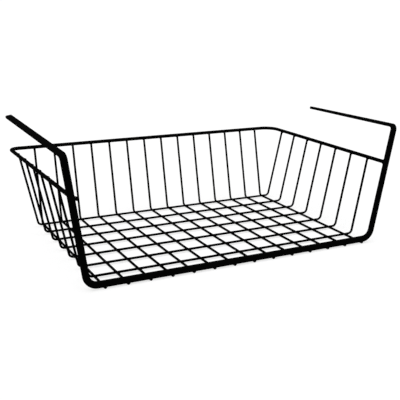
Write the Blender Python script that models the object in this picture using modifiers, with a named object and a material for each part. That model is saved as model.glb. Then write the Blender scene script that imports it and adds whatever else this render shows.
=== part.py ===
"""Under-shelf storage basket: a wire tray hung from a flat steel strip whose two arms lie on the shelf.

Metres, +Z up. X runs left to right, Y from the open front (-Y) to the back wall (+Y). The origin is on
the ground, under the middle of the bounding box, and the basket stands on its floor wires.
"""

import math

import bmesh
import bpy
from mathutils import Matrix, Vector

mm = 0.001

# Wire, strip and welds; a weld set is how deep one piece is pressed into the other
wire_diameter = 2.8 * mm
rim_diameter = 4.6 * mm
strip_width = 7.6 * mm
strip_thickness = 3.6 * mm
strip_edge_round = 1.0 * mm
floor_weld_set = 1.1 * mm
rim_weld_set = 1.15 * mm
strip_weld_set = 1.3 * mm
weld_gap = 0.25 * mm

# Floor grid, measured to wire centres; the margins run from the outermost wires to the walls' feet
lengthways_count = 14
lengthways_pitch = 25.4 * mm
crosswise_count = 7
crosswise_pitch = 32.6 * mm
front_margin = 31.2 * mm
side_margin = 7.4 * mm
back_margin = 9.4 * mm

# Walls and rim; a run is how far a wall leans out between floor and rim. The rim height is the back's,
# and towards the front the rim rises and its sides draw in, the right one more than the left.
side_wall_run = 20.8 * mm
back_wall_run = 22.9 * mm
rim_height = 97.1 * mm
rim_front_rise = 1.8 * mm
left_rim_toe_in = 0.5 * mm
right_rim_toe_in = 3.9 * mm
wire_end_above_rim = 0.6 * mm
wire_bend_inner_radius = 3.8 * mm
left_rim_corner_inner_radius = 8.5 * mm
right_rim_corner_inner_radius = 16.0 * mm
rim_end_inner_radius = 1.5 * mm
rim_end_straight = 1.8 * mm
rim_end_dip = 1.9 * mm

# Hanger strip, measured to its middle line
wire_end_before_strip = 0.2 * mm
post_beyond_rim = 2.0 * mm
arm_above_rim = 43.5 * mm
strip_corner_inner_radius = 9.0 * mm
arm_bend_inner_radius = 3.4 * mm
arm_length = 179.7 * mm
left_post_lean = math.radians(8.46)
right_post_lean = math.radians(10.33)
arm_splay = math.radians(2.88)
left_arm_rise = math.radians(3.17)
right_arm_rise = math.radians(-1.58)

# Fineness of the bends and of the round wires
bend_step = math.radians(13.0)
wire_resolution = 2
rim_resolution = 3
merge_distance = 0.0001 * mm

# Heights and radii that follow from the sizes above
wire_radius = wire_diameter / 2
rim_radius = rim_diameter / 2
lengthways_height = wire_radius
crosswise_height = lengthways_height + wire_diameter - floor_weld_set
strip_height = wire_diameter - strip_weld_set + strip_width / 2
wire_bend_radius = wire_bend_inner_radius + wire_radius
rim_to_wire = rim_radius + wire_radius - rim_weld_set

# Half widths of the floor and the rim
floor_half_width = (lengthways_count - 1) * lengthways_pitch / 2 + side_margin
side_wall_height = rim_height - crosswise_height
side_wall_to_rim = rim_to_wire * math.hypot(1, side_wall_run / side_wall_height)
rim_half_width = floor_half_width + side_wall_run + side_wall_to_rim

# Places along Y: the front ends of the lengthways wires and the rim's back are equally far from the middle
back_wall_foot = front_margin + (crosswise_count - 1) * crosswise_pitch + back_margin
back_wall_height = rim_height - lengthways_height
back_wall_to_rim = rim_to_wire * math.hypot(1, back_wall_run / back_wall_height)
basket_depth = back_wall_foot + back_wall_run + back_wall_to_rim + rim_radius
front_end = -basket_depth / 2
strip_plane = front_end + wire_end_before_strip + strip_thickness / 2
strip_back = strip_plane + strip_thickness / 2
rim_back = basket_depth / 2 - rim_radius
rim_front = strip_back + weld_gap + rim_radius
rim_front_height = rim_height + rim_front_rise


def clear_scene():
    for item in list(bpy.data.objects):
        bpy.data.objects.remove(item, do_unlink=True)


def coated_steel(name, shade):
    material = bpy.data.materials.new(name)
    material.use_nodes = True
    shader = material.node_tree.nodes["Principled BSDF"]
    shader.inputs["Base Color"].default_value = (shade, shade, shade, 1.0)
    shader.inputs["Metallic"].default_value = 0.0
    shader.inputs["Roughness"].default_value = 0.38
    return material


def rounded_path(corners, radii):
    """The corner points joined by straight runs, with an arc of the given radius at each inner corner."""
    path = [corners[0]]
    for before, corner, after, radius in zip(corners, corners[1:], corners[2:], radii):
        into = (corner - before).normalized()
        out = (after - corner).normalized()
        turn = into.angle(out)
        trim = radius * math.tan(turn / 2)
        start = corner - into * trim
        inward = (out - into * into.dot(out)).normalized()
        steps = max(2, math.ceil(turn / bend_step))
        for step in range(steps + 1):
            angle = turn * step / steps
            path.append(start + into * radius * math.sin(angle) + inward * radius * (1 - math.cos(angle)))
    path.append(corners[-1])
    return path


def wire_mesh(name, path, radius, resolution):
    """A closed round tube along the path."""
    curve = bpy.data.curves.new(name, "CURVE")
    curve.dimensions = "3D"
    curve.bevel_depth = radius
    curve.bevel_resolution = resolution
    curve.use_fill_caps = True
    spline = curve.splines.new("POLY")
    spline.points.add(len(path) - 1)
    for point, place in zip(spline.points, path):
        point.co = (*place, 1.0)
    guide = bpy.data.objects.new(name, curve)
    bpy.context.scene.collection.objects.link(guide)
    graph = bpy.context.evaluated_depsgraph_get()
    mesh = bpy.data.meshes.new_from_object(guide.evaluated_get(graph))
    bpy.data.objects.remove(guide, do_unlink=True)
    shape = bmesh.new()
    shape.from_mesh(mesh)
    bmesh.ops.remove_doubles(shape, verts=shape.verts, dist=merge_distance)
    shape.to_mesh(mesh)
    shape.free()
    return mesh


def add_mesh(collection, name, mesh, material):
    mesh.materials.append(material)
    item = bpy.data.objects.new(name, mesh)
    collection.objects.link(item)
    return item


def rim_side(side, y):
    """The middle of the rim's left (-1) or right (1) side at a place along Y."""
    share = (rim_back - y) / (rim_back - rim_front)
    toe_in = left_rim_toe_in if side < 0 else right_rim_toe_in
    return Vector((side * (rim_half_width - toe_in * share), y, rim_height + rim_front_rise * share))


def wall_top(side, y):
    """The upper end of a crosswise wire, a little above the place where it touches the rim."""
    foot = Vector((side * floor_half_width, y, crosswise_height))
    seat = rim_side(side, y) - Vector((side * side_wall_to_rim, 0.0, 0.0))
    return foot + (seat - foot) * (1 + wire_end_above_rim / (seat.z - foot.z))


def crosswise_path(index):
    """Down the left wall, across the floor and up the right wall."""
    y = front_end + front_margin + index * crosswise_pitch
    corners = [
        wall_top(-1, y),
        Vector((-floor_half_width, y, crosswise_height)),
        Vector((floor_half_width, y, crosswise_height)),
        wall_top(1, y),
    ]
    return rounded_path(corners, [wire_bend_radius] * 2)


def lengthways_path(index):
    """From under the front strip to the back, then up the back wall."""
    top = rim_height + wire_end_above_rim
    foot = front_end + back_wall_foot
    top_y = foot + back_wall_run * (top - lengthways_height) / back_wall_height
    x = (index - (lengthways_count - 1) / 2) * lengthways_pitch
    corners = [
        Vector((x, front_end, lengthways_height)),
        Vector((x, foot, lengthways_height)),
        Vector((x, top_y, top)),
    ]
    return rounded_path(corners, [wire_bend_radius])


def add_crosswise_wires(collection):
    material = coated_steel("coated crosswise wire", 0.012)
    wires = []
    for index in range(crosswise_count):
        name = f"crosswise_wire_{index + 1}"
        mesh = wire_mesh(name, crosswise_path(index), wire_radius, wire_resolution)
        wires.append(add_mesh(collection, name, mesh, material))
    return wires


def add_lengthways_wires(collection):
    material = coated_steel("coated lengthways wire", 0.014)
    wires = []
    for index in range(lengthways_count):
        name = f"lengthways_wire_{index + 1}"
        mesh = wire_mesh(name, lengthways_path(index), wire_radius, wire_resolution)
        wires.append(add_mesh(collection, name, mesh, material))
    return wires


def post_middle(side, height):
    """The middle of a post at a height; side is -1 for the left post and 1 for the right one."""
    lean = left_post_lean if side < 0 else right_post_lean
    at_rim = abs(rim_side(side, rim_front).x) + post_beyond_rim
    return Vector((side * (at_rim + (height - rim_front_height) * math.tan(lean)), strip_plane, height))


def rim_path():
    """Round the top of the sides and back.

    The left end turns in behind its post and a little down; the right end runs straight onto its post.
    """
    end_radius = rim_end_inner_radius + rim_radius
    left_front = rim_side(-1, rim_front)
    corners = [
        left_front + Vector((end_radius + rim_end_straight, 0.0, -rim_end_dip)),
        left_front,
        rim_side(-1, rim_back),
        rim_side(1, rim_back),
        rim_side(1, strip_back + weld_gap),
    ]
    corner_radii = [left_rim_corner_inner_radius + rim_radius, right_rim_corner_inner_radius + rim_radius]
    return rounded_path(corners, [end_radius, *corner_radii])


def add_rim(collection):
    mesh = wire_mesh("rim_wire", rim_path(), rim_radius, rim_resolution)
    add_mesh(collection, "rim_wire", mesh, coated_steel("coated rim wire", 0.011))


def arm_direction(side, rise):
    level = Vector((side * math.sin(arm_splay), math.cos(arm_splay), 0.0))
    return level * math.cos(rise) + Vector((0.0, 0.0, math.sin(rise)))


def hanger_side(side, rise):
    """The middle line of one half, foot to arm tip, with the direction to the outer edge at each point."""
    foot = post_middle(side, strip_height)
    top = post_middle(side, rim_front_height + arm_above_rim)
    tip = top + arm_direction(side, rise) * arm_length
    middle = Vector((0.0, foot.y, foot.z))
    corner_radius = strip_corner_inner_radius + strip_width / 2
    bend_radius = arm_bend_inner_radius + strip_thickness / 2
    path = rounded_path([middle, foot, top, tip], [corner_radius, bend_radius])[1:]
    post = (top - foot).normalized()
    normal = Vector((side, 0.0, 0.0)).cross(post).normalized()
    across_post = post.cross(normal)
    rows = []
    for index, place in enumerate(path):
        ahead = path[min(index + 1, len(path) - 1)]
        behind = path[index - 1] if index else middle
        along = ((ahead - place).normalized() + (place - behind).normalized()).normalized()
        flat = along.cross(normal) if place.z < (foot.z + top.z) / 2 else across_post
        rows.append((place, (flat - along * flat.dot(along)).normalized()))
    return rows


def add_hanger(collection):
    """The flat strip: arm, post, front bar, post, arm, as one ribbon with thickness and rounded edges."""
    rows = hanger_side(-1, left_arm_rise)[::-1] + hanger_side(1, right_arm_rise)
    shape = bmesh.new()
    edges = []
    for place, outward in rows:
        half = outward * strip_width / 2
        edges.append((shape.verts.new(place - half), shape.verts.new(place + half)))
    for (a, b), (c, d) in zip(edges, edges[1:]):
        shape.faces.new((a, b, d, c))
    mesh = bpy.data.meshes.new("hanger_strip")
    shape.to_mesh(mesh)
    shape.free()
    item = add_mesh(collection, "hanger_strip", mesh, coated_steel("coated hanger strip", 0.01))
    thicken = item.modifiers.new("thickness", "SOLIDIFY")
    thicken.thickness = strip_thickness
    thicken.offset = 0.0
    thicken.use_even_offset = True
    soften = item.modifiers.new("rounded edges", "BEVEL")
    soften.width = strip_edge_round
    soften.segments = 2
    soften.limit_method = "ANGLE"
    soften.angle_limit = math.radians(50)
    return item


def add_seat(collection, name, path, radius, resolution):
    """A wire one gap larger all round, which presses its seat into the pieces welded to that wire."""
    item = bpy.data.objects.new(name, wire_mesh(name, path, radius + weld_gap, resolution))
    item.hide_render = True
    item.display_type = "WIRE"
    collection.objects.link(item)


def press_seats(pieces, seats):
    for piece in pieces:
        cut = piece.modifiers.new("weld seats", "BOOLEAN")
        cut.operation = "DIFFERENCE"
        cut.operand_type = "COLLECTION"
        cut.collection = seats


def new_collection(name):
    collection = bpy.data.collections.new(name)
    bpy.context.scene.collection.children.link(collection)
    return collection


def set_over_origin(pieces, seats):
    """Moves all pieces and seats together sideways, so that the middle of the pieces is over the origin."""
    graph = bpy.context.evaluated_depsgraph_get()
    corners = [corner for piece in pieces for corner in piece.evaluated_get(graph).bound_box]
    middle = [(min(places) + max(places)) / 2 for places in list(zip(*corners))[:2]]
    move = Matrix.Translation((-middle[0], -middle[1], 0.0))
    for item in [*pieces, *seats]:
        item.data.transform(move)


def main():
    clear_scene()
    basket = new_collection("storage basket")
    crosswise_wires = add_crosswise_wires(basket)
    lengthways_wires = add_lengthways_wires(basket)
    add_rim(basket)
    strip = add_hanger(basket)
    floor_seats = new_collection("seats of the lengthways wires")
    for index in range(lengthways_count):
        add_seat(floor_seats, f"seat_{index + 1}", lengthways_path(index), wire_radius, wire_resolution)
    rim_seats = new_collection("seats of the rim")
    add_seat(rim_seats, "rim_seat", rim_path(), rim_radius, rim_resolution)
    set_over_origin(list(basket.objects), [*floor_seats.objects, *rim_seats.objects])
    press_seats([*crosswise_wires, strip], floor_seats)
    press_seats([*crosswise_wires, *lengthways_wires], rim_seats)


main()
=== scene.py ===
"""Looks of the under-shelf storage basket: coated wires, rim and strip, their welds, light and camera."""

import math
import random

import bmesh
import bpy
import numpy as np
from mathutils import Matrix, Vector


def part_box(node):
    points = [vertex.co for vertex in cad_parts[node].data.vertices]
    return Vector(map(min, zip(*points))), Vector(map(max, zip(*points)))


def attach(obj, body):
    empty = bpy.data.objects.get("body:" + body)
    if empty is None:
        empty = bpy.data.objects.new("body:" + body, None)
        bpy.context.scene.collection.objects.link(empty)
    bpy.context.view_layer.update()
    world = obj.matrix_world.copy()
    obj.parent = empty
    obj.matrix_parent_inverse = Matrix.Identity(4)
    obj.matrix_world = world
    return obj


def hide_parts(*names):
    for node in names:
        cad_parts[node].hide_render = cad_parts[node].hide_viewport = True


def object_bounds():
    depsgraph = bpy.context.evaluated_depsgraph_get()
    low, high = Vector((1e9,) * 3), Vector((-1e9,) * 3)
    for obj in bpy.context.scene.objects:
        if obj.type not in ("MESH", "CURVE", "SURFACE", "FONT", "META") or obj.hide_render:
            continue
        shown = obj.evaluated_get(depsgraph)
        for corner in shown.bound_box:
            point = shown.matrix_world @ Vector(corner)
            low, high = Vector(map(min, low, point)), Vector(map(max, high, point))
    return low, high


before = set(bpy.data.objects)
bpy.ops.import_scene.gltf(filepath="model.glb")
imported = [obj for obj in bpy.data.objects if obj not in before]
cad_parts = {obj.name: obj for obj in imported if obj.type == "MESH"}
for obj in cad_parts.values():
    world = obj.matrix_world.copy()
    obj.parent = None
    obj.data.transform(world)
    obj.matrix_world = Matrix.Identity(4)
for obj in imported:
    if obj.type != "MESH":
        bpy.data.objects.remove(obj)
cad_low, cad_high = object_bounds()

mm = 0.001

# Wire, strip and welds, as in the frame; only the strip's edges are rounder here, by 0.1 mm
wire_radius = 1.4 * mm
rim_radius = 2.3 * mm
strip_width = 7.6 * mm
strip_thickness = 3.6 * mm
strip_edge_round = 1.1 * mm
floor_weld_set = 1.1 * mm
rim_weld_set = 1.15 * mm
strip_weld_set = 1.3 * mm
weld_gap = 0.25 * mm

# Floor grid
lengthways_count = 14
lengthways_pitch = 25.4 * mm
crosswise_count = 7
crosswise_pitch = 32.6 * mm
front_margin = 31.2 * mm
side_margin = 7.4 * mm
back_margin = 9.4 * mm

# Walls and rim; the rim height is the back's, and the rim rises and draws in towards the front
side_wall_run = 20.8 * mm
back_wall_run = 22.9 * mm
rim_height = 97.1 * mm
rim_front_rise = 1.8 * mm
left_rim_toe_in = 0.5 * mm
right_rim_toe_in = 3.9 * mm
wire_end_above_rim = 0.6 * mm
wire_bend_radius = 5.2 * mm
left_rim_corner_radius = 10.8 * mm
right_rim_corner_radius = 18.3 * mm
rim_end_radius = 3.8 * mm
rim_end_straight = 1.8 * mm
rim_end_dip = 1.9 * mm

# Hanger strip; the right arm's twist is here alone, and turns its edges by 0.6 mm at most from the frame's
wire_end_before_strip = 0.2 * mm
post_beyond_rim = 2.0 * mm
arm_above_rim = 43.5 * mm
strip_corner_radius = 12.8 * mm
arm_bend_radius = 5.2 * mm
arm_length = 179.7 * mm
left_post_lean = math.radians(8.46)
right_post_lean = math.radians(10.33)
arm_splay = math.radians(2.88)
left_arm_rise = math.radians(3.17)
right_arm_rise = math.radians(-1.58)
right_arm_twist = math.radians(9.0)

# Fineness of the visible pieces
bend_step = math.radians(6.0)
least_bend_steps = 3
wire_sides = 14
rim_sides = 20
edge_steps = 3
arm_steps = 12
end_steps = 3
wire_end_round = 0.35 * mm
strip_end_round = 0.7 * mm

# Weld fillets: spread over the two pieces, reach from the middle, and a mesh with points found by halving
weld_spread = 1.9 * mm
weld_spread_change = 0.35 * mm
rim_end_weld_spread = 1.4 * weld_spread
weld_reach = 3.0 * mm
rim_end_weld_reach = weld_reach + rim_radius / 2
weld_inset = 0.02 * mm
weld_fan = math.radians(62)
weld_turns = 28
weld_rows = 9
weld_halvings = 16
weld_seed = 14
run_edge_round = 0.3 * mm

# How many of the rim path's points make up its turned-in left end
turned_end_points = 18

# Coating: a near-black tone, with the noises' scales in waves per metre and shares of the tone
coating_tone = 0.0012
cloud_share = 0.25
grain_share = 0.3
rubbed_share = 1.4
coating_roughness = 0.45
cloud_gloss = 0.05
grain_gloss = 0.04
rubbed_gloss = 0.10
coat_weight = 0.01
coat_roughness = 0.3
cloud_scale = 38.0
rub_scale = 160.0
grain_scale = 2400.0
wire_peel_scale = 700.0
rim_peel_scale = 600.0
strip_peel_scale = 520.0
peel_depth = 0.05 * mm
peel_strength = 0.5
grain_in_peel = 0.35
noise_low = 0.3
noise_high = 0.7

# Floor and light; the floor's glow is only seen and lights nothing
floor_reach = 40.0
floor_tone = 0.4
floor_roughness = 0.9
floor_glow = 0.66
lamp_strength = 0.68 * math.pi
lamp_width = math.radians(80)
lamp_tilt = (math.radians(12), math.radians(-10), 0.0)
horizon_height = 0.06
overhead_height = 0.30
horizon_level = 1.0
overhead_level = 0.3

# Camera at the photograph's viewing angle, in radians; its place is from the middle of the floor grid
camera_azimuth = 0.47776
camera_elevation = 0.27981
camera_roll = -0.014273
camera_place = Vector((-398.0, -788.13, 294.15)) * mm
camera_sensor = 36.0
camera_lens = 65.658
camera_far = 200.0

# Places that follow from the sizes above
lengthways_height = wire_radius
crosswise_height = lengthways_height + 2 * wire_radius - floor_weld_set
strip_height = 2 * wire_radius - strip_weld_set + strip_width / 2
rim_to_wire = rim_radius + wire_radius - rim_weld_set
floor_half_width = (lengthways_count - 1) * lengthways_pitch / 2 + side_margin
side_wall_height = rim_height - crosswise_height
side_wall_to_rim = rim_to_wire * math.hypot(1, side_wall_run / side_wall_height)
rim_half_width = floor_half_width + side_wall_run + side_wall_to_rim
back_wall_foot = front_margin + (crosswise_count - 1) * crosswise_pitch + back_margin
back_wall_height = rim_height - lengthways_height
back_wall_to_rim = rim_to_wire * math.hypot(1, back_wall_run / back_wall_height)
basket_depth = back_wall_foot + back_wall_run + back_wall_to_rim + rim_radius
front_end = -basket_depth / 2
strip_plane = front_end + wire_end_before_strip + strip_thickness / 2
strip_back = strip_plane + strip_thickness / 2
rim_back = basket_depth / 2 - rim_radius
rim_front = strip_back + weld_gap + rim_radius
rim_front_height = rim_height + rim_front_rise
wire_top = rim_height + wire_end_above_rim
weld_limit = np.array((-2 * rim_half_width, front_end + weld_inset, weld_inset))

# The frame stands over the middle of the whole part, and these sizes start from the middle of the floor grid
first_wire_low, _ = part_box("lengthways_wire_1")
_, last_wire_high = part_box(f"lengthways_wire_{lengthways_count}")
grid_middle = Vector(((first_wire_low[0] + last_wire_high[0]) / 2, first_wire_low[1] - front_end, 0.0))

X = Vector((1.0, 0.0, 0.0))
Y = Vector((0.0, 1.0, 0.0))
Z = Vector((0.0, 0.0, 1.0))


def rounded_path(corners, radii):
    """The corner points joined by straight runs, with an arc of the given radius at each inner corner."""
    path = [corners[0]]
    for before, corner, after, radius in zip(corners, corners[1:], corners[2:], radii):
        into = (corner - before).normalized()
        out = (after - corner).normalized()
        turn = into.angle(out)
        start = corner - into * radius * math.tan(turn / 2)
        inward = (out - into * into.dot(out)).normalized()
        steps = max(least_bend_steps, math.ceil(turn / bend_step))
        for step in range(steps + 1):
            angle = turn * step / steps
            path.append(start + into * radius * math.sin(angle) + inward * radius * (1 - math.cos(angle)))
    path.append(corners[-1])
    return path


def crosswise_place(index):
    return front_end + front_margin + index * crosswise_pitch


def lengthways_place(index):
    return (index - (lengthways_count - 1) / 2) * lengthways_pitch


def rim_side(side, y):
    """The middle of the rim's left (-1) or right (1) side at a place along Y."""
    share = (rim_back - y) / (rim_back - rim_front)
    toe_in = left_rim_toe_in if side < 0 else right_rim_toe_in
    return Vector((side * (rim_half_width - toe_in * share), y, rim_height + rim_front_rise * share))


def wall_top(side, y):
    """The upper end of a crosswise wire, a little above the place where it touches the rim."""
    foot = Vector((side * floor_half_width, y, crosswise_height))
    seat = rim_side(side, y) - X * side * side_wall_to_rim
    return foot + (seat - foot) * (1 + wire_end_above_rim / (seat.z - foot.z))


def crosswise_corners(index):
    y = crosswise_place(index)
    return [
        wall_top(-1, y),
        Vector((-floor_half_width, y, crosswise_height)),
        Vector((floor_half_width, y, crosswise_height)),
        wall_top(1, y),
    ]


def lengthways_corners(index):
    foot = front_end + back_wall_foot
    top_y = foot + back_wall_run * (wire_top - lengthways_height) / back_wall_height
    x = lengthways_place(index)
    return [
        Vector((x, front_end, lengthways_height)),
        Vector((x, foot, lengthways_height)),
        Vector((x, top_y, wire_top)),
    ]


def rim_path():
    """Round the top of the sides and back.

    The left end turns in behind its post and a little down; the right end runs straight onto its post.
    """
    left_front = rim_side(-1, rim_front)
    corners = [
        left_front + X * (rim_end_radius + rim_end_straight) - Z * rim_end_dip,
        left_front,
        rim_side(-1, rim_back),
        rim_side(1, rim_back),
        rim_side(1, strip_back + weld_gap),
    ]
    return rounded_path(corners, [rim_end_radius, left_rim_corner_radius, right_rim_corner_radius])


def post_middle(side, height):
    """The middle of a post at a height; side is -1 for the left post and 1 for the right one."""
    lean = left_post_lean if side < 0 else right_post_lean
    at_rim = abs(rim_side(side, rim_front).x) + post_beyond_rim
    return Vector((side * (at_rim + (height - rim_front_height) * math.tan(lean)), strip_plane, height))


def arm_direction(side, rise):
    level = Vector((side * math.sin(arm_splay), math.cos(arm_splay), 0.0))
    return level * math.cos(rise) + Z * math.sin(rise)


def hanger_side(side, rise, twist):
    """The middle line of one half of the strip, foot to arm tip, with the way to its outer edge.

    The twist turns up the arm's outer edge at the post, and it fades out towards the tip.
    """
    foot = post_middle(side, strip_height)
    top = post_middle(side, rim_front_height + arm_above_rim)
    tip = top + arm_direction(side, rise) * arm_length
    middle = Vector((0.0, foot.y, foot.z))
    path = rounded_path([middle, foot, top, tip], [strip_corner_radius, arm_bend_radius])[1:-1]
    path += [path[-1].lerp(tip, (step + 1) / arm_steps) for step in range(arm_steps)]
    post = (top - foot).normalized()
    normal = (X * side).cross(post).normalized()
    across_post = post.cross(normal)
    rows = []
    for index, place in enumerate(path):
        ahead = path[min(index + 1, len(path) - 1)]
        behind = path[index - 1] if index else middle
        along = ((ahead - place).normalized() + (place - behind).normalized()).normalized()
        flat = along.cross(normal) if place.z < (foot.z + top.z) / 2 else across_post
        flat = (flat - along * flat.dot(along)).normalized()
        turn = twist * min((place.y - top.y) / arm_bend_radius, (tip.y - place.y) / (tip.y - top.y))
        rows.append((place, Matrix.Rotation(-side * turn, 3, along) @ flat))
    return rows


def circle(radius, sides):
    def outline(inset):
        size = radius - inset
        turns = [2 * math.pi * (side + 0.5) / sides for side in range(sides)]
        return [(size * math.cos(turn), size * math.sin(turn), 0.0) for turn in turns]

    return outline


def rounded_rectangle(width, thickness, edge):
    """The strip's section; the third number of a point says how near it is to an edge."""

    def outline(inset):
        points = []
        for quarter, (sign_a, sign_b) in enumerate([(1, 1), (-1, 1), (-1, -1), (1, -1)]):
            for step in range(edge_steps + 1):
                turn = math.pi / 2 * (quarter + step / edge_steps)
                a = sign_a * (width / 2 - edge) + (edge - inset) * math.cos(turn)
                b = sign_b * (thickness / 2 - edge) + (edge - inset) * math.sin(turn)
                points.append((a, b, math.sin(math.pi * step / edge_steps)))
        return points

    return outline


def directions(places):
    """The way along the path at each of its places."""
    result = []
    for index, place in enumerate(places):
        ahead = places[min(index + 1, len(places) - 1)]
        behind = places[max(index - 1, 0)]
        result.append(((ahead - place).normalized() + (place - behind).normalized()).normalized())
    return result


def end_rings(place, way, outward, end_round, sign):
    """The rings of a rounded-over end, from its tip inwards; sign is -1 where that is against the way."""
    rings = []
    for step in range(end_steps + 1):
        turn = math.pi / 2 * step / end_steps
        travel = way * sign * end_round * (1 - math.cos(turn))
        rings.append((place + travel, way, outward, end_round * (1 - math.sin(turn))))
    return rings


def sweep(name, rows, outline, end_round):
    """A closed mesh of the outline carried along the rows, its two ends rounded over."""
    places = [place for place, _ in rows]
    ways = directions(places)
    middle = [(place, way, outward, 0.0) for (place, outward), way in list(zip(rows, ways))[1:-1]]
    start = end_rings(places[0], ways[0], rows[0][1], end_round, 1)
    end = end_rings(places[-1], ways[-1], rows[-1][1], end_round, -1)
    rings = [*start, *middle, *reversed(end)]
    shape = bmesh.new()
    edge_layer = shape.verts.layers.float.new("edge")
    loops = []
    for place, way, outward, inset in rings:
        other = way.cross(outward)
        loop = []
        for a, b, edge in outline(inset):
            point = shape.verts.new(place + outward * a + other * b)
            point[edge_layer] = edge
            loop.append(point)
        loops.append(loop)
    for first, second in zip(loops, loops[1:]):
        for index in range(len(first)):
            after = (index + 1) % len(first)
            shape.faces.new((first[index], first[after], second[after], second[index]))
    shape.faces.new(loops[0][::-1])
    shape.faces.new(loops[-1])
    return finish_mesh(name, shape)


def finish_mesh(name, shape):
    bmesh.ops.recalc_face_normals(shape, faces=shape.faces)
    for face in shape.faces:
        face.smooth = True
    mesh = bpy.data.meshes.new(name)
    shape.to_mesh(mesh)
    shape.free()
    mesh.transform(Matrix.Translation(grid_middle))
    item = bpy.data.objects.new(name, mesh)
    bpy.context.scene.collection.objects.link(item)
    return item


def capped_run(points, start, end, radius, edge=run_edge_round):
    """How far points lie outside a straight round wire."""
    start, end = np.array(start), np.array(end)
    along = (end - start) / np.linalg.norm(end - start)
    half = np.linalg.norm(end - start) / 2
    offset = points - (start + end) / 2
    travel = offset @ along
    radial = np.linalg.norm(offset - travel[..., None] * along, axis=-1) - radius + edge
    beyond = np.abs(travel) - half + edge
    outside = np.hypot(np.maximum(radial, 0), np.maximum(beyond, 0))
    return outside + np.minimum(np.maximum(radial, beyond), 0) - edge


def chain(points, path, radius):
    """How far points lie outside a bent round wire."""
    runs = [capped_run(points, a, b, radius, radius) for a, b in zip(path, path[1:])]
    return np.minimum.reduce(runs)


def strip_run(points, start, end, outward):
    """How far points lie outside a straight run of the strip."""
    start, end, outward = np.array(start), np.array(end), np.array(outward)
    along = (end - start) / np.linalg.norm(end - start)
    other = np.cross(along, outward)
    offset = points - (start + end) / 2
    a = np.abs(offset @ outward) - strip_width / 2 + strip_edge_round
    b = np.abs(offset @ other) - strip_thickness / 2 + strip_edge_round
    outside = np.hypot(np.maximum(a, 0), np.maximum(b, 0))
    return outside + np.minimum(np.maximum(a, b), 0) - strip_edge_round


def weld_directions(axis):
    """Rows of directions round the axis, most of them near its equator, where a fillet shows."""
    axis = Vector(axis)
    side = axis.orthogonal().normalized()
    other = axis.cross(side)
    rows = []
    for row in range(weld_rows):
        share = 2 * row / (weld_rows - 1) - 1
        rise = weld_fan * share
        ring = []
        for turn in range(weld_turns):
            angle = 2 * math.pi * turn / weld_turns
            flat = side * math.cos(angle) + other * math.sin(angle)
            ring.append(flat * math.cos(rise) + axis * math.sin(rise))
        rows.append(ring)
    return rows


def add_weld(shape, centre, axis, distances, spread, reach_limit=weld_reach):
    """One fillet: out from the middle of the weld to the surface of two pieces that are blended smoothly."""
    rows = weld_directions(axis)
    ways = np.array([[tuple(way) for way in ring] for ring in rows])
    middle = np.array(centre)

    def blended(reach):
        points = middle + ways * reach[..., None]
        first, second = (distance(points) for distance in distances)
        overlap = np.maximum(spread - np.abs(first - second), 0) / spread
        return np.minimum(first, second) - overlap**2 * spread / 4 + weld_inset

    low = np.zeros(ways.shape[:2])
    high = np.full(ways.shape[:2], reach_limit)
    inside_all_along = blended(high) < 0
    for _ in range(weld_halvings):
        reach = (low + high) / 2
        inside = blended(reach) < 0
        low = np.where(inside, reach, low)
        high = np.where(inside, high, reach)
    reach = np.where(inside_all_along, reach_limit, low)
    points = np.maximum(middle + ways * reach[..., None], weld_limit)
    loops = [[shape.verts.new(tuple(point)) for point in ring] for ring in points]
    for first, second in zip(loops, loops[1:]):
        for index in range(weld_turns):
            after = (index + 1) % weld_turns
            shape.faces.new((first[index], first[after], second[after], second[index]))
    for loop, sign in ((loops[0], -1), (loops[-1], 1)):
        pole = shape.verts.new(tuple(middle + np.array(axis) * sign * reach[0 if sign < 0 else -1].min()))
        for index in range(weld_turns):
            after = (index + 1) % weld_turns
            shape.faces.new((loop[index], loop[after], pole))


def varied_spread(draw):
    return weld_spread + draw.uniform(-1, 1) * weld_spread_change


def floor_welds(draw):
    shape = bmesh.new()
    for row in range(crosswise_count):
        _, left, right, _ = crosswise_corners(row)
        for column in range(lengthways_count):
            front, back, _ = lengthways_corners(column)
            centre = (front.x, left.y, (crosswise_height + lengthways_height) / 2)
            distances = (
                lambda points, a=left, b=right: capped_run(points, a, b, wire_radius),
                lambda points, a=front, b=back: capped_run(points, a, b, wire_radius),
            )
            add_weld(shape, centre, Z, distances, varied_spread(draw))
    return finish_mesh("floor_welds", shape)


def rim_welds(draw):
    shape = bmesh.new()
    into_contact = rim_radius - rim_weld_set / 2
    for row in range(crosswise_count):
        corners = crosswise_corners(row)
        for side, foot, top in ((-1, corners[1], corners[0]), (1, corners[2], corners[3])):
            contact = rim_side(side, top.y) - X * side * into_contact
            front, back = rim_side(side, rim_front), rim_side(side, rim_back)
            distances = (
                lambda points, a=foot, b=top: capped_run(points, a, b, wire_radius),
                lambda points, a=front, b=back: capped_run(points, a, b, rim_radius),
            )
            add_weld(shape, contact, X, distances, varied_spread(draw))
    left, right = rim_side(-1, rim_back), rim_side(1, rim_back)
    for column in range(lengthways_count):
        _, foot, top = lengthways_corners(column)
        contact = Vector((foot.x, rim_back - into_contact, rim_height))
        distances = (
            lambda points, a=foot, b=top: capped_run(points, a, b, wire_radius),
            lambda points: capped_run(points, left, right, rim_radius),
        )
        add_weld(shape, contact, Y, distances, varied_spread(draw))
    return finish_mesh("rim_welds", shape)


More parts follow.
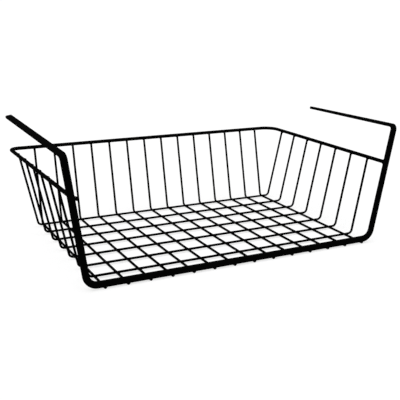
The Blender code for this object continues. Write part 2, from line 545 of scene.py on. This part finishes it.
def strip_welds(draw):
    shape = bmesh.new()
    left, right = post_middle(-1, strip_height), post_middle(1, strip_height)
    for column in range(lengthways_count):
        front, back, _ = lengthways_corners(column)
        centre = (front.x, strip_plane, 2 * wire_radius - strip_weld_set / 2)
        distances = (
            lambda points, a=left, b=right: strip_run(points, a, b, Z),
            lambda points, a=front, b=back: capped_run(points, a, b, wire_radius),
        )
        add_weld(shape, centre, Z, distances, varied_spread(draw))
    path = rim_path()
    left_height = (path[0].z + path[1].z) / 2
    turned_end = path[:turned_end_points]
    ends = (
        (-1, post_middle(-1, left_height), lambda points: chain(points, turned_end, rim_radius)),
        (1, path[-1], lambda points: capped_run(points, path[-2], path[-1], rim_radius)),
    )
    for side, place, rim_end in ends:
        foot, top = post_middle(side, strip_height), post_middle(side, rim_front_height + arm_above_rim)
        outward = (top - foot).normalized().cross(Y).normalized()
        centre = (place.x, strip_back + weld_gap / 2, place.z)
        distances = (lambda points, a=foot, b=top, c=outward: strip_run(points, a, b, c), rim_end)
        add_weld(shape, centre, Y, distances, rim_end_weld_spread, rim_end_weld_reach)
    return finish_mesh("strip_welds", shape)


def coating(name, peel_scale, seed):
    """Satin black coating: orange peel, uneven gloss, faint clouding, and edges rubbed a little smoother."""
    material = bpy.data.materials.new(name)
    material.use_nodes = True
    nodes, links = material.node_tree.nodes, material.node_tree.links
    shader = nodes["Principled BSDF"]
    shader.inputs["Metallic"].default_value = 0.0
    shader.inputs["Specular IOR Level"].default_value = 0.0
    shader.inputs["Coat Weight"].default_value = coat_weight
    shader.inputs["Coat Roughness"].default_value = coat_roughness
    place = nodes.new("ShaderNodeTexCoord").outputs["Object"]

    def noise(scale, detail, rough):
        node = nodes.new("ShaderNodeTexNoise")
        node.noise_dimensions = "4D"
        node.inputs["W"].default_value = seed
        node.inputs["Scale"].default_value = scale
        node.inputs["Detail"].default_value = detail
        node.inputs["Roughness"].default_value = rough
        links.new(place, node.inputs["Vector"])
        return node.outputs["Fac"]

    def spread(value, low, high):
        node = nodes.new("ShaderNodeMapRange")
        node.inputs["From Min"].default_value = noise_low
        node.inputs["From Max"].default_value = noise_high
        node.inputs["To Min"].default_value = low
        node.inputs["To Max"].default_value = high
        links.new(value, node.inputs["Value"])
        return node.outputs["Result"]

    def combine(kind, first, second):
        node = nodes.new("ShaderNodeMath")
        node.operation = kind
        for socket, value in zip(node.inputs, (first, second)):
            if isinstance(value, float):
                socket.default_value = value
            else:
                links.new(value, socket)
        return node.outputs["Value"]

    clouds = noise(cloud_scale, detail=3.0, rough=0.55)
    grain = noise(grain_scale, detail=2.0, rough=0.6)
    peel = noise(peel_scale, detail=2.0, rough=0.5)
    edge = nodes.new("ShaderNodeAttribute")
    edge.attribute_name = "edge"
    rubs = spread(noise(rub_scale, detail=4.0, rough=0.6), 0.0, 1.0)
    rubbed = combine("MULTIPLY", edge.outputs["Fac"], rubs)
    tone = spread(clouds, coating_tone * (1 - cloud_share), coating_tone * (1 + cloud_share))
    tone = combine("ADD", tone, spread(grain, 0.0, coating_tone * grain_share))
    tone = combine("ADD", tone, combine("MULTIPLY", rubbed, coating_tone * rubbed_share))
    colour = nodes.new("ShaderNodeCombineColor")
    for socket in colour.inputs:
        links.new(tone, socket)
    links.new(colour.outputs["Color"], shader.inputs["Base Color"])
    gloss = spread(clouds, coating_roughness - cloud_gloss, coating_roughness + cloud_gloss)
    gloss = combine("ADD", gloss, spread(grain, -grain_gloss, grain_gloss))
    gloss = combine("SUBTRACT", gloss, combine("MULTIPLY", rubbed, rubbed_gloss))
    links.new(gloss, shader.inputs["Roughness"])
    bump = nodes.new("ShaderNodeBump")
    bump.inputs["Strength"].default_value = peel_strength
    bump.inputs["Distance"].default_value = peel_depth
    height = combine("ADD", peel, combine("MULTIPLY", grain, grain_in_peel))
    links.new(height, bump.inputs["Height"])
    links.new(bump.outputs["Normal"], shader.inputs["Normal"])
    links.new(bump.outputs["Normal"], shader.inputs["Coat Normal"])
    return material


def keep_in_frame(piece):
    """Trims the hundredths of a millimetre by which a round piece stands out of the faceted frame's box."""
    for vertex in piece.data.vertices:
        vertex.co = [max(low, min(high, place)) for place, low, high in zip(vertex.co, cad_low, cad_high)]


def dress(piece, material, slot, *nodes):
    keep_in_frame(piece)
    piece.data.materials.append(material)
    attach(piece, "root")
    if nodes:
        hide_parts(*nodes)


def add_basket():
    draw = random.Random(weld_seed)
    wire_coat = coating("coated wire", wire_peel_scale, seed=1.0)
    rim_coat = coating("coated rim", rim_peel_scale, seed=2.0)
    strip_coat = coating("coated strip", strip_peel_scale, seed=3.0)
    thin = circle(wire_radius, wire_sides)
    for index in range(crosswise_count):
        path = rounded_path(crosswise_corners(index), [wire_bend_radius] * 2)
        piece = sweep(f"crosswise_{index + 1}", [(place, Y) for place in path], thin, wire_end_round)
        dress(piece, wire_coat, "wire_coating", f"crosswise_wire_{index + 1}")
    for index in range(lengthways_count):
        path = rounded_path(lengthways_corners(index), [wire_bend_radius])
        piece = sweep(f"lengthways_{index + 1}", [(place, X) for place in path], thin, wire_end_round)
        dress(piece, wire_coat, "wire_coating", f"lengthways_wire_{index + 1}")
    rim = sweep("rim", [(place, Z) for place in rim_path()], circle(rim_radius, rim_sides), wire_end_round)
    dress(rim, rim_coat, "rim_coating", "rim_wire")
    rows = hanger_side(-1, left_arm_rise, 0.0)[::-1] + hanger_side(1, right_arm_rise, right_arm_twist)
    section = rounded_rectangle(strip_width, strip_thickness, strip_edge_round)
    strip = sweep("hanger", rows, section, strip_end_round)
    dress(strip, strip_coat, "strip_coating", "hanger_strip")
    dress(floor_welds(draw), wire_coat, "wire_coating")
    dress(rim_welds(draw), rim_coat, "rim_coating")
    dress(strip_welds(draw), strip_coat, "strip_coating")


def seen_directly(tree):
    """1 for rays from the camera, a mirror or glass, and 0 for the rays that light the object."""
    path = tree.nodes.new("ShaderNodeLightPath")
    total = path.outputs["Is Camera Ray"]
    for name in ("Is Glossy Ray", "Is Transmission Ray"):
        larger = tree.nodes.new("ShaderNodeMath")
        larger.operation = "MAXIMUM"
        tree.links.new(total, larger.inputs[0])
        tree.links.new(path.outputs[name], larger.inputs[1])
        total = larger.outputs["Value"]
    return total


def add_floor():
    shape = bmesh.new()
    corners = [(-1, -1), (1, -1), (1, 1), (-1, 1)]
    shape.faces.new([shape.verts.new((x * floor_reach, y * floor_reach, 0)) for x, y in corners])
    floor = finish_mesh("pale_floor", shape)
    material = bpy.data.materials.new("pale floor")
    material.use_nodes = True
    tree = material.node_tree
    shader = tree.nodes["Principled BSDF"]
    shader.inputs["Base Color"].default_value = (floor_tone, floor_tone, floor_tone, 1.0)
    shader.inputs["Roughness"].default_value = floor_roughness
    shader.inputs["Specular IOR Level"].default_value = 0.0
    shader.inputs["Emission Color"].default_value = (1.0, 1.0, 1.0, 1.0)
    lift = tree.nodes.new("ShaderNodeMath")
    lift.operation = "MULTIPLY"
    tree.links.new(seen_directly(tree), lift.inputs[0])
    lift.inputs[1].default_value = floor_glow
    tree.links.new(lift.outputs["Value"], shader.inputs["Emission Strength"])
    floor.data.materials.append(material)


def add_light():
    """A soft lamp from above, in plain surroundings that are white where a camera or mirror sees them."""
    world = bpy.data.worlds.new("studio")
    bpy.context.scene.world = world
    world.use_nodes = True
    tree = world.node_tree
    ambient = tree.nodes["Background"]
    ambient.inputs["Color"].default_value = (1.0, 1.0, 1.0, 1.0)
    place = tree.nodes.new("ShaderNodeTexCoord")
    split = tree.nodes.new("ShaderNodeSeparateXYZ")
    tree.links.new(place.outputs["Generated"], split.inputs["Vector"])
    level = tree.nodes.new("ShaderNodeMapRange")
    level.interpolation_type = "SMOOTHSTEP"
    tree.links.new(split.outputs["Z"], level.inputs["Value"])
    level.inputs["From Min"].default_value = horizon_height
    level.inputs["From Max"].default_value = overhead_height
    level.inputs["To Min"].default_value = horizon_level
    level.inputs["To Max"].default_value = overhead_level
    white = tree.nodes.new("ShaderNodeMath")
    white.operation = "MAXIMUM"
    tree.links.new(level.outputs["Result"], white.inputs[0])
    tree.links.new(seen_directly(tree), white.inputs[1])
    tree.links.new(white.outputs["Value"], ambient.inputs["Strength"])
    lamp = bpy.data.lights.new("soft lamp", "SUN")
    lamp.energy = lamp_strength
    lamp.angle = lamp_width
    item = bpy.data.objects.new("soft lamp", lamp)
    item.rotation_euler = lamp_tilt
    bpy.context.scene.collection.objects.link(item)


def add_camera():
    forward = Vector((
        math.sin(camera_azimuth) * math.cos(camera_elevation),
        math.cos(camera_azimuth) * math.cos(camera_elevation),
        -math.sin(camera_elevation),
    ))
    right = Vector((math.cos(camera_azimuth), -math.sin(camera_azimuth), 0.0))
    down = forward.cross(right)
    turned_right = right * math.cos(camera_roll) + down * math.sin(camera_roll)
    turned_down = down * math.cos(camera_roll) - right * math.sin(camera_roll)
    lens = bpy.data.cameras.new("camera")
    lens.sensor_width = camera_sensor
    lens.lens = camera_lens
    lens.clip_end = camera_far
    camera = bpy.data.objects.new("camera", lens)
    turn = Matrix((turned_right, -turned_down, -forward)).transposed().to_4x4()
    camera.matrix_world = Matrix.Translation(camera_place + grid_middle) @ turn
    bpy.context.scene.collection.objects.link(camera)
    bpy.context.scene.camera = camera


add_camera()
add_light()
add_floor()
add_basket()
bpy.context.scene.view_settings.view_transform = "Standard"
bpy.context.view_layer.update()
